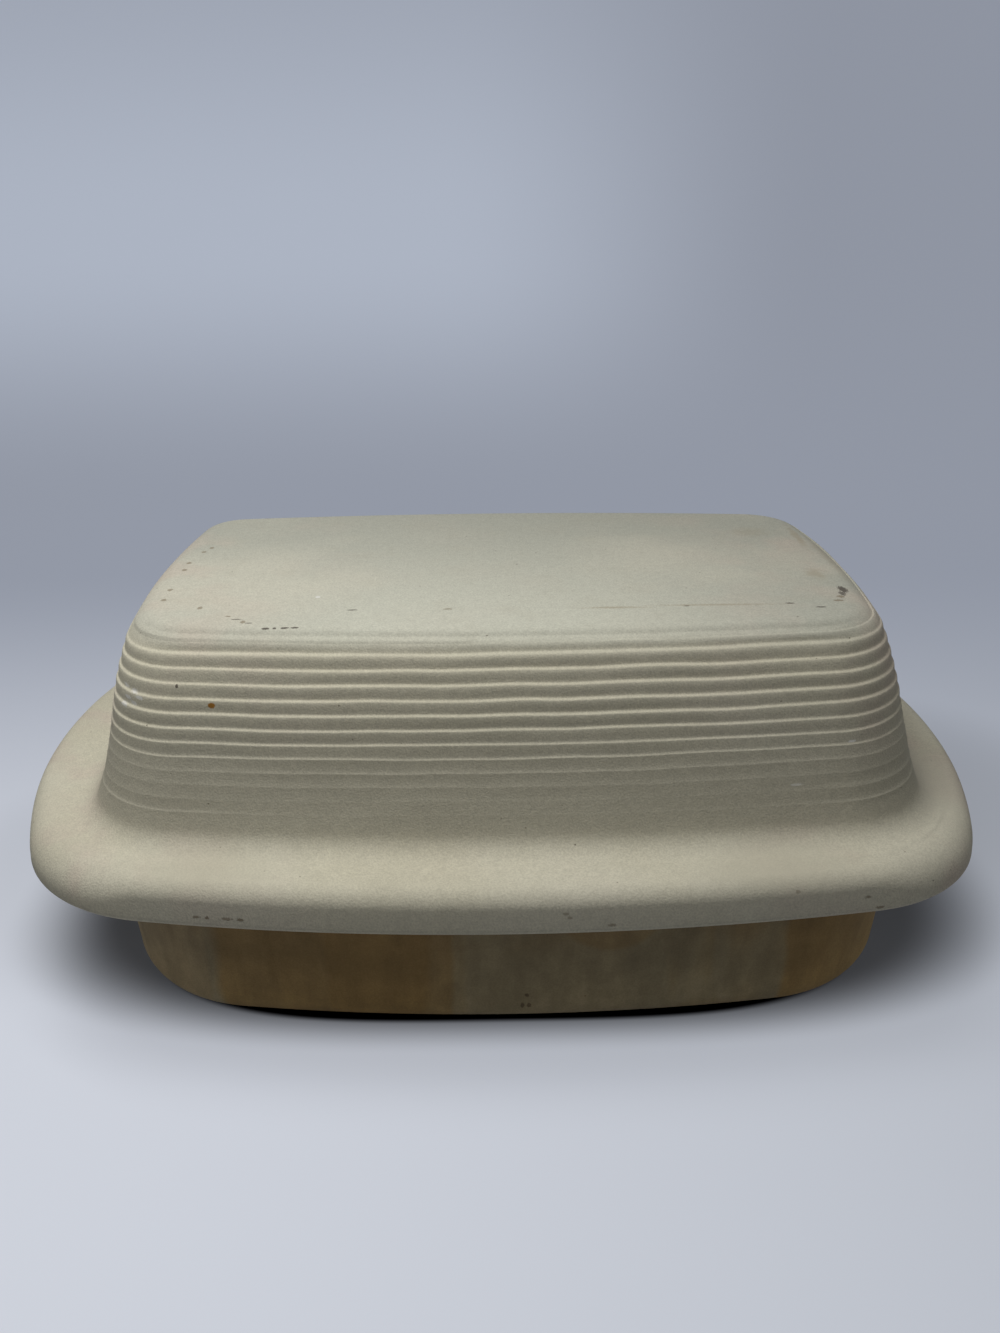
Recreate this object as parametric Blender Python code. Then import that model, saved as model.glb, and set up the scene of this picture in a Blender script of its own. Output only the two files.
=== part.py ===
"""Covered stoneware roaster: a shallow smooth dish with a deep ringed cover turned over it.

Both pieces are solid, one-piece stoneware, built from plan outlines lofted through a list of levels.
Metres, +Z up. +X runs along the roaster and -Y is its front. The origin is the middle of the foot.
"""

from dataclasses import dataclass
from math import asin, cos, degrees, pi, radians, sin, sqrt

import bmesh
import bpy

# Flange and lip of the cover
FLANGE_LENGTH = 0.3700
FLANGE_WIDTH = 0.2660
FLANGE_LONG_BOW = 0.0096
FLANGE_SHORT_BOW = 0.0102
FLANGE_CORNER = 0.0615
FLANGE_THICKNESS = 0.0090
FLANGE_CROWN = 0.0015
FLANGE_EDGE_RADIUS = 0.0070
LIP_DROP = 0.0156
LIP_THICKNESS = 0.0090
LIP_DRAFT = 0.0010
LIP_EDGE_RADIUS = 0.0028

# Wall of the cover, at its root in the flange and at its flat top
ROOT_LENGTH = 0.3185
ROOT_WIDTH = 0.2166
ROOT_LONG_BOW = 0.0065
ROOT_SHORT_BOW = 0.0050
ROOT_CORNER = 0.0415
TOP_LENGTH = 0.2732
TOP_WIDTH = 0.1642
TOP_LONG_BOW = 0.0058
TOP_SHORT_BOW = 0.0030
TOP_CORNER = 0.0235
COVER_RISE = 0.0712
COVER_BELLY = 0.0010
COVER_WALL = 0.0090
COVER_ROOF = 0.0090
SHOULDER_RADIUS = 0.0085
INNER_SHOULDER_RADIUS = 0.0130
COVE_RADIUS = 0.0070
MOUTH_RADIUS = 0.0030

# Rings around the cover's wall, as many as fit above the cove
RING_PITCH = 0.00466
RING_DEPTH = 0.0009
RING_LEDGE = 0.0012
FIRST_RING_DROP = 0.0020

# Dish
DISH_HEIGHT = 0.0680
DISH_STEP_IN = 0.0010
DISH_DRAFT = 0.100
DISH_CORNER = 0.0600
DISH_WALL = 0.0090
DISH_FLOOR = 0.0090
RIM_THICKNESS = 0.0075
RIM_EDGE_RADIUS = 0.0025
RIM_COVE_RADIUS = 0.0060
HEEL_RADIUS = 0.0132
INNER_HEEL_RADIUS = 0.0160
FOOT_HEIGHT = 0.0025
FOOT_INSET = 0.0060

# Clearances between the two pieces
SEAT_GAP = 0.0003
LIP_CLEARANCE = 0.0020

# Facets: steps along a half side, round a corner and round an edge
LONG_SIDE_STEPS = 5
SHORT_SIDE_STEPS = 4
CORNER_STEPS = 8
EDGE_STEPS = 3
SMOOTH_ANGLE = radians(35)

# Heights above the table
SEAT = DISH_HEIGHT + SEAT_GAP
FLANGE_TOP = SEAT + FLANGE_THICKNESS
FLAT_TOP = FLANGE_TOP + COVER_RISE
COVE_TOP = FLANGE_TOP + FLANGE_CROWN + COVE_RADIUS
LIP_BOTTOM = FLANGE_TOP - LIP_DROP


@dataclass(frozen=True)
class Plan:
    """Rounded rectangle seen from above, whose four sides bow outwards as shallow arcs.

    The half sizes reach to the middles of the sides. Each bow is the rise of a side's arc between the
    corners next to it.
    """

    half_length: float
    half_width: float
    long_bow: float
    short_bow: float
    corner: float

    def grown(self, by: float) -> "Plan":
        """Return the parallel outline that lies further out by this distance."""
        return Plan(self.half_length + by, self.half_width + by, self.long_bow, self.short_bow,
                    self.corner + by)

    def blended(self, other: "Plan", share: float) -> "Plan":
        """Return the outline between this one (share 0) and the other (share 1)."""
        def mix(own: float, others: float) -> float:
            return own + (others - own) * share

        return Plan(mix(self.half_length, other.half_length), mix(self.half_width, other.half_width),
                    mix(self.long_bow, other.long_bow), mix(self.short_bow, other.short_bow),
                    mix(self.corner, other.corner))

    def points(self) -> list[tuple[float, float]]:
        """Return the outline's points, counter-clockwise from the middle of the +X side."""
        reach_x = self.half_length - self.corner - self.short_bow
        reach_y = self.half_width - self.corner - self.long_bow
        long_radius = (reach_x ** 2 + self.long_bow ** 2) / (2 * self.long_bow)
        short_radius = (reach_y ** 2 + self.short_bow ** 2) / (2 * self.short_bow)
        long_turn = pi / 2 - asin(reach_x / long_radius)
        short_turn = asin(reach_y / short_radius)
        short_centre = (reach_x + self.short_bow - short_radius, 0.0)
        long_centre = (0.0, reach_y + self.long_bow - long_radius)
        quarter = arc(short_centre, short_radius + self.corner, 0, short_turn, SHORT_SIDE_STEPS)
        quarter += arc((reach_x, reach_y), self.corner, short_turn, long_turn, CORNER_STEPS)[1:]
        quarter += arc(long_centre, long_radius + self.corner, long_turn, pi / 2, LONG_SIDE_STEPS)[1:]
        half = quarter + [(-x, y) for x, y in reversed(quarter[:-1])]
        return half + [(x, -y) for x, y in reversed(half[1:-1])]


Level = tuple[Plan, float]
Ring = list[bmesh.types.BMVert]


def arc(centre: tuple[float, float], radius: float, start: float, end: float,
        steps: int) -> list[tuple[float, float]]:
    """Return points at even angles along an arc, both ends included."""
    turns = [start + (end - start) * step / steps for step in range(steps + 1)]
    return [(centre[0] + radius * cos(turn), centre[1] + radius * sin(turn)) for turn in turns]


def rounded(plan: Plan, out: float, height: float, radius: float, start: float, end: float) -> list[Level]:
    """Return the levels of a rounded edge or cove around a plan.

    Args:
        plan: outline that the edge follows.
        out: distance of the arc's centre outside the plan.
        height: height of the arc's centre.
        radius: radius of the edge or cove.
        start: first angle in degrees, 0 outwards and 90 upwards.
        end: last angle in degrees.
    """
    profile = arc((out, height), radius, radians(start), radians(end), EDGE_STEPS)
    return [(plan.grown(offset), level) for offset, level in profile]


def cover_wall(height: float) -> Plan:
    """Return the outline of the cover's outer wall at a height.

    It tapers from its root to its top, hollows a little in its lower half and bellies out in its upper.
    """
    root = Plan(ROOT_LENGTH / 2, ROOT_WIDTH / 2, ROOT_LONG_BOW, ROOT_SHORT_BOW, ROOT_CORNER)
    top = Plan(TOP_LENGTH / 2, TOP_WIDTH / 2, TOP_LONG_BOW, TOP_SHORT_BOW, TOP_CORNER)
    share = (height - FLANGE_TOP) / COVER_RISE
    return root.blended(top, share).grown(COVER_BELLY * sin(2 * pi * (share - 0.5)))


def flange() -> Plan:
    """Return the outline of the cover's flange."""
    return Plan(FLANGE_LENGTH / 2, FLANGE_WIDTH / 2, FLANGE_LONG_BOW, FLANGE_SHORT_BOW, FLANGE_CORNER)


def dish_wall(height: float) -> Plan:
    """Return the outline of the dish's outer wall at a height, which leans in from the rim down."""
    rim = cover_wall(FLANGE_TOP).grown(-DISH_STEP_IN)
    rim = Plan(rim.half_length, rim.half_width, rim.long_bow, rim.short_bow, DISH_CORNER)
    return rim.grown(-DISH_DRAFT * (DISH_HEIGHT - height))


def cover_skin(height: float) -> Plan:
    """Return the outline of the cover's wall with its rounded shoulder, below the flat top."""
    rise = max(0.0, SHOULDER_RADIUS - (FLAT_TOP - height))
    return cover_wall(height).grown(sqrt(SHOULDER_RADIUS ** 2 - rise ** 2) - SHOULDER_RADIUS)


def ring_levels() -> list[Level]:
    """Return the cover's rings: each starts at a crease and steps out over a narrow ledge."""
    levels = []
    first = FLAT_TOP - FIRST_RING_DROP
    count = 1 + int((first - RING_LEDGE - COVE_TOP) / RING_PITCH)
    for ring in range(count):
        crease = first - ring * RING_PITCH
        ledge = crease - RING_LEDGE
        levels.append((cover_skin(crease).grown(-RING_DEPTH), crease))
        levels.append((cover_skin(ledge), ledge))
    return levels


def cover_outside() -> list[Level]:
    """Return the cover's outer levels, from its flat top down to the foot of its lip."""
    shoulder = FLAT_TOP - SHOULDER_RADIUS
    turn = degrees(asin(max(0.0, 1 - FIRST_RING_DROP / SHOULDER_RADIUS)))
    edge = flange()
    levels = rounded(cover_wall(shoulder), -SHOULDER_RADIUS, shoulder, SHOULDER_RADIUS, 90, turn)[:-1]
    levels += ring_levels()
    levels += rounded(cover_wall(COVE_TOP), COVE_RADIUS, COVE_TOP, COVE_RADIUS, 180, 270)[1:]
    levels += rounded(edge, -FLANGE_EDGE_RADIUS, FLANGE_TOP - FLANGE_EDGE_RADIUS, FLANGE_EDGE_RADIUS, 90, 0)
    levels += rounded(edge, -LIP_DRAFT - LIP_EDGE_RADIUS, LIP_BOTTOM + LIP_EDGE_RADIUS, LIP_EDGE_RADIUS,
                      0, -90)
    return levels


def cover_inside() -> list[Level]:
    """Return the cover's inner levels, from the foot of its lip up to its roof."""
    pocket = flange().grown(-LIP_THICKNESS)
    mouth = SEAT + MOUTH_RADIUS
    roof = FLAT_TOP - COVER_ROOF
    shoulder = roof - INNER_SHOULDER_RADIUS
    levels = [(pocket, LIP_BOTTOM + LIP_EDGE_RADIUS), (pocket, SEAT)]
    levels += rounded(cover_wall(mouth).grown(-COVER_WALL), MOUTH_RADIUS, mouth, MOUTH_RADIUS, 270, 180)
    levels += rounded(cover_wall(shoulder).grown(-COVER_WALL), -INNER_SHOULDER_RADIUS, shoulder,
                      INNER_SHOULDER_RADIUS, 0, 90)
    return levels


def dish_outside() -> list[Level]:
    """Return the dish's outer levels, from its foot up to the edge of its rim."""
    heel = FOOT_HEIGHT + HEEL_RADIUS
    cove = DISH_HEIGHT - RIM_THICKNESS - RIM_COVE_RADIUS
    rim = flange().grown(-LIP_THICKNESS - LIP_CLEARANCE)
    base = dish_wall(heel).grown(-HEEL_RADIUS)
    levels = [(base.grown(-FOOT_INSET), 0.0), (base.grown(FOOT_HEIGHT - FOOT_INSET), FOOT_HEIGHT)]
    levels += rounded(dish_wall(heel), -HEEL_RADIUS, heel, HEEL_RADIUS, -90, 0)
    levels += rounded(dish_wall(cove), RIM_COVE_RADIUS, cove, RIM_COVE_RADIUS, 180, 90)
    low = DISH_HEIGHT - RIM_THICKNESS + RIM_EDGE_RADIUS
    levels += rounded(rim, -RIM_EDGE_RADIUS, low, RIM_EDGE_RADIUS, -90, 0)
    levels += rounded(rim, -RIM_EDGE_RADIUS, DISH_HEIGHT - RIM_EDGE_RADIUS, RIM_EDGE_RADIUS, 0, 90)
    return levels


def dish_inside() -> list[Level]:
    """Return the dish's inner levels, from the top of its rim down to its floor."""
    lip = DISH_HEIGHT - MOUTH_RADIUS
    floor = FOOT_HEIGHT + DISH_FLOOR
    heel = floor + INNER_HEEL_RADIUS
    levels = rounded(dish_wall(lip).grown(-DISH_WALL), MOUTH_RADIUS, lip, MOUTH_RADIUS, 90, 180)
    levels += rounded(dish_wall(heel).grown(-DISH_WALL), -INNER_HEEL_RADIUS, heel, INNER_HEEL_RADIUS,
                      0, -90)
    return levels


def clay(name: str, colour: tuple[float, float, float], roughness: float) -> bpy.types.Material:
    """Return a plain matte material for one piece of stoneware."""
    material = bpy.data.materials.new(name)
    material.use_nodes = True
    shader = material.node_tree.nodes["Principled BSDF"]
    shader.inputs["Base Color"].default_value = (*colour, 1.0)
    shader.inputs["Roughness"].default_value = roughness
    shader.inputs["Metallic"].default_value = 0.0
    return material


def extruded(body: bmesh.types.BMesh, ring: Ring, level: Level) -> Ring:
    """Extrude a closed ring of vertices to the next level and return the new ring in the same order."""
    plan, height = level
    edges = [body.edges.get((ring[index - 1], vertex)) for index, vertex in enumerate(ring)]
    made = bmesh.ops.extrude_edge_only(body, edges=edges)["geom"]
    fresh = {thing for thing in made if isinstance(thing, bmesh.types.BMVert)}
    following = []
    for vertex, (x, y) in zip(ring, plan.points()):
        beside = [edge.other_vert(vertex) for edge in vertex.link_edges]
        copy = next(other for other in beside if other in fresh)
        copy.co = (x, y, height)
        following.append(copy)
    return following


def lofted(name: str, levels: list[Level], material: bpy.types.Material) -> bpy.types.Object:
    """Extrude a closed body from its first level to its last and add it to the scene."""
    mesh = bpy.data.meshes.new(name)
    body = bmesh.new()
    plan, height = levels[0]
    ring = [body.verts.new((x, y, height)) for x, y in plan.points()]
    body.faces.new(ring)
    for level in levels[1:]:
        ring = extruded(body, ring, level)
    body.faces.new(ring)
    bmesh.ops.recalc_face_normals(body, faces=body.faces)
    body.to_mesh(mesh)
    body.free()
    mesh.shade_smooth()
    mesh.set_sharp_from_angle(angle=SMOOTH_ANGLE)
    mesh.materials.append(material)
    piece = bpy.data.objects.new(name, mesh)
    bpy.context.scene.collection.objects.link(piece)
    return piece


def main() -> None:
    """Clear the scene and build the dish and its cover."""
    for thing in list(bpy.data.objects):
        bpy.data.objects.remove(thing)
    tan = clay("toasted_stoneware", (0.434, 0.332, 0.195), 0.85)
    cream = clay("cream_stoneware", (0.578, 0.552, 0.445), 0.90)
    lofted("base_dish", dish_outside() + dish_inside(), tan)
    lofted("deep_cover", cover_outside() + cover_inside(), cream)


main()
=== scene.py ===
"""Looks of a covered stoneware roaster: a toasted tan dish under a deep, ringed, cream cover.

Everything is in metres in the model's own frame: +X along the roaster, -Y its front and +Z up.
Both pieces are pressed and fired in one, so each is one closed body drawn out ring by ring.
"""

import logging
from dataclasses import dataclass, replace
from enum import Enum
from math import asin, atan2, cos, pi, radians, sin, sqrt

import bmesh
import bpy
from mathutils import Matrix, Vector, noise


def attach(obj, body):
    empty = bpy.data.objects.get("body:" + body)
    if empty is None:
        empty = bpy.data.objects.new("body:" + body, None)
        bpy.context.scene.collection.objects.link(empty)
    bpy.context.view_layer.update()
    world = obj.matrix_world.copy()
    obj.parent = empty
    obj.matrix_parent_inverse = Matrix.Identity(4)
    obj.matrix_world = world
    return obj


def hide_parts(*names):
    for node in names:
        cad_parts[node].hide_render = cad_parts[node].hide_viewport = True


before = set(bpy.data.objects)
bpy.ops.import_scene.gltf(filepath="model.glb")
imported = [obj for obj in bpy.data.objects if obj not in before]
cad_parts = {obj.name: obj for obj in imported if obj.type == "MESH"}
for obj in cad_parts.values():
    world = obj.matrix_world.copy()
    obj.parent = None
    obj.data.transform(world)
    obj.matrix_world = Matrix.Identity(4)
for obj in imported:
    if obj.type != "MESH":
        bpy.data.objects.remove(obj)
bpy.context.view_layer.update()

LOG = logging.getLogger("roaster")
Ring = list[Vector]
Pair = tuple[float, float]
Triple = tuple[float, float, float]
Colour = Triple
Socket = bpy.types.NodeSocket


def between(low: float | Vector, high: float | Vector, share: float) -> float | Vector:
    """Return the value or place that lies this share of the way from low to high."""
    return low + (high - low) * share


def eased(low: float, high: float, value: float) -> float:
    """Return a smooth step from 0 at low to 1 at high."""
    share = min(max((value - low) / (high - low), 0.0), 1.0)
    return share * share * (3 - 2 * share)


def ripple(x: float, y: float, z: float, seed: float) -> float:
    """Return smooth hand-made unevenness between about -1 and 1 for a place."""
    return noise.noise(Vector((x + seed, y - seed, z + 2 * seed)))


def shown(name: str, data: bpy.types.ID) -> bpy.types.Object:
    """Return a new object that shows this data in the scene."""
    thing = bpy.data.objects.new(name, data)
    bpy.context.scene.collection.objects.link(thing)
    return thing


# Outlines and the bodies drawn through them


@dataclass(frozen=True)
class Outline:
    """Rounded rectangle seen from above, whose four sides bow outwards.

    The half sizes reach to the middles of the sides. The corners' radii run counter-clockwise from
    the corner at +X and +Y.
    """

    half_length: float
    half_width: float
    side_bow: float
    end_bow: float
    corners: tuple[float, float, float, float]
    shift: Pair = (0.0, 0.0)

    END_STEPS = 18
    CORNER_STEPS = 38
    SIDE_STEPS = 34

    def grown(self, by: float) -> "Outline":
        """Return the parallel outline that lies further out by this distance."""
        return replace(self, half_length=self.half_length + by, half_width=self.half_width + by,
                       corners=tuple(corner + by for corner in self.corners))

    def scaled(self, share: float) -> "Outline":
        """Return the outline drawn in towards its middle to this share of its size."""
        return replace(self, half_length=self.half_length * share, half_width=self.half_width * share,
                       side_bow=self.side_bow * share, end_bow=self.end_bow * share,
                       corners=tuple(corner * share for corner in self.corners))

    def blended(self, other: "Outline", share: float) -> "Outline":
        """Return the outline between this one (share 0) and the other (share 1)."""
        return Outline(between(self.half_length, other.half_length, share),
                       between(self.half_width, other.half_width, share),
                       between(self.side_bow, other.side_bow, share),
                       between(self.end_bow, other.end_bow, share),
                       tuple(between(a, b, share) for a, b in zip(self.corners, other.corners)),
                       tuple(between(a, b, share) for a, b in zip(self.shift, other.shift)))

    def quarter(self, corner: float) -> list[tuple[Vector, Vector]]:
        """Return places and outward directions from the middle of an end to the middle of a side.

        Args:
            corner: radius of the corner between them.

        Returns:
            Pairs of a place and a direction, for the quarter at +X and +Y and about the middle.
        """
        reach_x = self.half_length - corner - self.end_bow
        reach_y = self.half_width - corner - self.side_bow
        side_radius = (reach_x ** 2 + self.side_bow ** 2) / (2 * self.side_bow)
        end_radius = (reach_y ** 2 + self.end_bow ** 2) / (2 * self.end_bow)
        end_turn = asin(reach_y / end_radius)
        side_turn = pi / 2 - asin(reach_x / side_radius)
        arcs = (((reach_x + self.end_bow - end_radius, 0.0), end_radius + corner, 0.0, end_turn,
                 self.END_STEPS),
                ((reach_x, reach_y), corner, end_turn, side_turn, self.CORNER_STEPS),
                ((0.0, reach_y + self.side_bow - side_radius), side_radius + corner, side_turn, pi / 2,
                 self.SIDE_STEPS))
        found = []
        for centre, radius, start, end, steps in arcs:
            for step in range(steps):
                turn = between(start, end, step / steps)
                way = Vector((cos(turn), sin(turn), 0.0))
                found.append((Vector((*centre, 0.0)) + radius * way, way))
        found.append((Vector((0.0, self.half_width, 0.0)), Vector((0.0, 1.0, 0.0))))
        return found

    def places(self) -> list[tuple[Vector, Vector]]:
        """Return all places and outward directions, counter-clockwise from the middle of the +X end."""
        whole = []
        for index, (side_x, side_y) in enumerate(((1, 1), (-1, 1), (-1, -1), (1, -1))):
            turn = Matrix.Diagonal((side_x, side_y, 1.0))
            quarter = [(turn @ place, turn @ way) for place, way in self.quarter(self.corners[index])]
            if index % 2:
                quarter.reverse()
            whole += quarter[:-1]
        middle = Vector((*self.shift, 0.0))
        return [(middle + place, way) for place, way in whole]


class Body:
    """Closed body that starts from a small circle and is extruded ring by ring."""

    def __init__(self, name: str) -> None:
        """Start an empty body with its name."""
        self.name = name
        self.mesh = bmesh.new()
        self.edge: list[bmesh.types.BMVert] = []

    def drawn(self, rings: list[Ring]) -> bpy.types.Object:
        """Carry the body's open edge on through these rings and return the closed, smooth piece."""
        for ring in rings:
            if not self.edge:
                made = bmesh.ops.create_circle(self.mesh, cap_ends=True, segments=len(ring), radius=1.0)
                self.edge = list(made["verts"])
            else:
                self.edge = self.extruded()
            for vertex, place in zip(self.edge, ring):
                vertex.co = place
        bmesh.ops.contextual_create(self.mesh, geom=self.open_edges())
        bmesh.ops.recalc_face_normals(self.mesh, faces=self.mesh.faces)
        mesh = bpy.data.meshes.new(self.name)
        self.mesh.to_mesh(mesh)
        self.mesh.free()
        mesh.shade_smooth()
        LOG.info("%s: %d faces", self.name, len(mesh.polygons))
        return shown(self.name, mesh)

    def extruded(self) -> list[bmesh.types.BMVert]:
        """Extrude the open edge and return its new vertices in the same order."""
        made = bmesh.ops.extrude_edge_only(self.mesh, edges=self.open_edges())["geom"]
        fresh = {thing for thing in made if isinstance(thing, bmesh.types.BMVert)}
        return [next(other for link in vertex.link_edges if (other := link.other_vert(vertex)) in fresh)
                for vertex in self.edge]

    def open_edges(self) -> list[bmesh.types.BMEdge]:
        """Return the open edge's own edges in order."""
        return [self.mesh.edges.get((self.edge[index - 1], vertex)) for index, vertex in enumerate(self.edge)]


def level(outline: Outline, height: float) -> Ring:
    """Return an outline's places at a height."""
    return [Vector((place.x, place.y, height)) for place, _ in outline.places()]


def rounded(outline: Outline, out: float, height: float, start: float, end: float, steps: int) -> list[Ring]:
    """Return the rings of a rounded edge or cove that runs round an outline.

    Args:
        outline: outline that the edge follows.
        out: radius of the arc, whose centre lies so far outside the outline, or inside if negative.
        height: height of the arc's centre.
        start: first angle in degrees, 0 outwards and 90 upwards.
        end: last angle in degrees.
        steps: facets along the arc.

    Returns:
        The rings from the first angle to the last.
    """
    turns = [radians(between(start, end, step / steps)) for step in range(steps + 1)]
    return [level(outline.grown(out + abs(out) * cos(turn)), height + abs(out) * sin(turn)) for turn in turns]


DISC_SHARES = (0.03, 0.1, 0.2, 0.32, 0.45, 0.58, 0.7, 0.81, 0.9, 0.965)


def disc(outline: Outline, height: float, outwards: bool) -> list[Ring]:
    """Return rings that cover the flat inside an outline, without the outline itself.

    Args:
        outline: edge of the flat.
        height: height of the flat.
        outwards: whether the rings run from the middle out, or from the edge in.

    Returns:
        The rings at DISC_SHARES of the outline's size.
    """
    rings = [level(outline.scaled(share), height) for share in DISC_SHARES]
    return rings if outwards else rings[::-1]


# Finishes


class Grain(Enum):
    """How coarse a noise is: its scale in waves per metre."""

    CLOUD = 9.0
    PATCH = 26.0
    MOTTLE = 75.0
    DIMPLE = 330.0
    SAND = 1500.0


class Shader:
    """Node tree of one matte clay, with helpers that add its nodes."""

    OCTAVE_ROUGHNESS = 0.55
    NOISE_SPAN = (0.3, 0.7)

    def __init__(self, name: str, roughness: float, gloss: float) -> None:
        """Start a material with a constant roughness and gloss."""
        self.material = bpy.data.materials.new(name)
        self.material.use_nodes = True
        self.nodes = self.material.node_tree.nodes
        self.links = self.material.node_tree.links
        self.surface = self.nodes["Principled BSDF"]
        self.surface.inputs["Roughness"].default_value = roughness
        self.surface.inputs["Specular IOR Level"].default_value = gloss
        self.place = self.nodes.new("ShaderNodeTexCoord").outputs["Object"]

    def node(self, kind: str, inputs: dict[str, object]) -> bpy.types.Node:
        """Return a new node of this kind, its inputs fed from sockets or numbers."""
        node = self.nodes.new("ShaderNode" + kind)
        for name, source in inputs.items():
            self.feed(node.inputs[name], source)
        return node

    def value(self, operation: str, *sources: object) -> Socket:
        """Return the result of a math node on sockets or numbers."""
        node = self.nodes.new("ShaderNodeMath")
        node.operation = operation
        for socket, source in zip(node.inputs, sources):
            self.feed(socket, source)
        return node.outputs[0]

    def times(self, first: object, second: object) -> Socket:
        """Return the product of two sockets or numbers."""
        return self.value("MULTIPLY", first, second)

    def vector(self, operation: str, first: object, second: object = (0.0, 0.0, 0.0)) -> Socket:
        """Return the result of a vector math node on sockets or triples."""
        node = self.nodes.new("ShaderNodeVectorMath")
        node.operation = operation
        self.feed(node.inputs[0], first)
        self.feed(node.inputs[1], second)
        return node.outputs["Value" if operation == "LENGTH" else "Vector"]

    def feed(self, socket: Socket, source: object) -> None:
        """Link a socket into another, or set the number or triple that it holds."""
        if isinstance(source, Socket):
            self.links.new(source, socket)
        else:
            socket.default_value = source

    def noise(self, grain: Grain, detail: float = 2.0, stretch: Triple = (1.0, 1.0, 1.0),
              offset: float = 0.0) -> Socket:
        """Return a noise about 0.5 in the object's own coordinates.

        Args:
            grain: how coarse it is.
            detail: how many finer octaves it has.
            stretch: factor on each axis.
            offset: slides the noise, so that two alike differ.
        """
        moved = self.vector("MULTIPLY", self.place, stretch)
        moved = self.vector("ADD", moved, (offset, -offset, offset * 0.5))
        node = self.node("TexNoise", {"Vector": moved, "Scale": grain.value, "Detail": detail,
                                      "Roughness": self.OCTAVE_ROUGHNESS})
        return node.outputs["Fac"]

    def ramp(self, source: Socket, low: float, high: float, to: Pair = (0.0, 1.0)) -> Socket:
        """Return a smooth step of a socket from low to high."""
        node = self.node("MapRange", {"Value": source, "From Min": low, "From Max": high,
                                      "To Min": to[0], "To Max": to[1]})
        node.interpolation_type = "SMOOTHSTEP"
        return node.outputs["Result"]

    def mixed(self, share: object, first: object, second: object, how: str = "MIX") -> Socket:
        """Return a colour mixed from two sockets or colours."""
        node = self.node("Mix", {"Factor": share})
        node.data_type = "RGBA"
        node.blend_type = how
        for socket, source in ((node.inputs[6], first), (node.inputs[7], second)):
            self.feed(socket, (*source, 1.0) if isinstance(source, tuple) else source)
        return node.outputs[2]

    def spot(self, mark: "Mark", ragged: Socket) -> Socket:
        """Return the mask of a mark, whose edge is broken up by this noise about 0.5."""
        place, spread = ([part / 1000 for part in parts] for parts in (mark.place, mark.spread))
        away = self.vector("DIVIDE", self.vector("SUBTRACT", self.place, place), spread)
        far = self.value("MULTIPLY_ADD", ragged, mark.breaks, self.vector("LENGTH", away))
        edge = 1.0 + 0.5 * mark.breaks
        return self.ramp(far, edge, edge - mark.fade, (0.0, mark.strength))

    def marked(self, colour: Socket, marks: "tuple[Mark, ...]") -> Socket:
        """Return a colour with these marks laid over it."""
        grains = dict.fromkeys(mark.grain for mark in marks)
        ragged = {grain: self.noise(grain, offset=0.05) for grain in grains}
        for mark in marks:
            colour = self.mixed(self.spot(mark, ragged[mark.grain]), colour, mark.colour)
        return colour

    def shaded(self, colour: Socket, source: Socket, factors: Pair) -> Socket:
        """Return a colour times one factor where a noise is weak and another where it is strong."""
        return self.mixed(1.0, colour, self.ramp(source, *self.NOISE_SPAN, factors), "MULTIPLY")

    def pinholes(self, scale: float, size: float, share: float) -> Socket:
        """Return the mask of scattered pinholes.

        Args:
            scale: cells per metre, each of which may hold one.
            size: radius of a pinhole as a share of a cell.
            share: share of the cells that stay empty.
        """
        cells = self.node("TexVoronoi", {"Vector": self.place, "Scale": scale}).outputs
        lot = self.node("SeparateColor", {"Color": cells["Color"]})
        held = self.ramp(lot.outputs[0], share, share + 0.02)
        return self.times(self.ramp(cells["Distance"], size, 0.5 * size), held)

    def split(self) -> dict[str, Socket]:
        """Return the coordinates of the place by name."""
        node = self.node("SeparateXYZ", {"Vector": self.place})
        return {name: node.outputs[name] for name in "XYZ"}

    def away(self, reach: Pair, shift: Pair, power: float) -> Socket:
        """Return how far out a place on the floor lies, 1 on a rounded outline.

        Args:
            reach: half sizes of the outline.
            shift: place of its middle.
            power: 2 for an ellipse, and more for squarer corners.
        """
        place = self.split()
        shares = []
        for name, half, middle in zip("XY", reach, shift):
            off = self.value("ABSOLUTE", self.value("SUBTRACT", place[name], middle))
            shares.append(self.value("POWER", self.value("DIVIDE", off, half), power))
        return self.value("ADD", *shares)

    def fired(self, colour: Socket, sand: Socket, holes: Socket, dimples: float,
              depth: float) -> bpy.types.Material:
        """Give the surface its colour and its fine relief, and return the material.

        Args:
            colour: the surface's colour.
            sand: noise of the sandy grain.
            holes: mask of the pinholes.
            dimples: how strong the coarser dimples are beside the sand.
            depth: depth in metres of a whole step of the relief.
        """
        self.links.new(colour, self.surface.inputs["Base Color"])
        proud = self.value("MULTIPLY_ADD", self.noise(Grain.DIMPLE, 3.0), dimples, sand)
        relief = self.node("Bump", {"Strength": 1.0, "Distance": depth,
                                    "Height": self.value("SUBTRACT", proud, holes)})
        self.links.new(relief.outputs["Normal"], self.surface.inputs["Normal"])
        return self.material


@dataclass(frozen=True)
class Mark:
    """Fleck, pit, scuff or toasted patch: its place and its half sizes in millimetres and its look."""

    place: Triple
    spread: Triple
    colour: Colour
    strength: float = 0.9
    breaks: float = 1.2
    fade: float = 0.35
    grain: Grain = Grain.SAND


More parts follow.
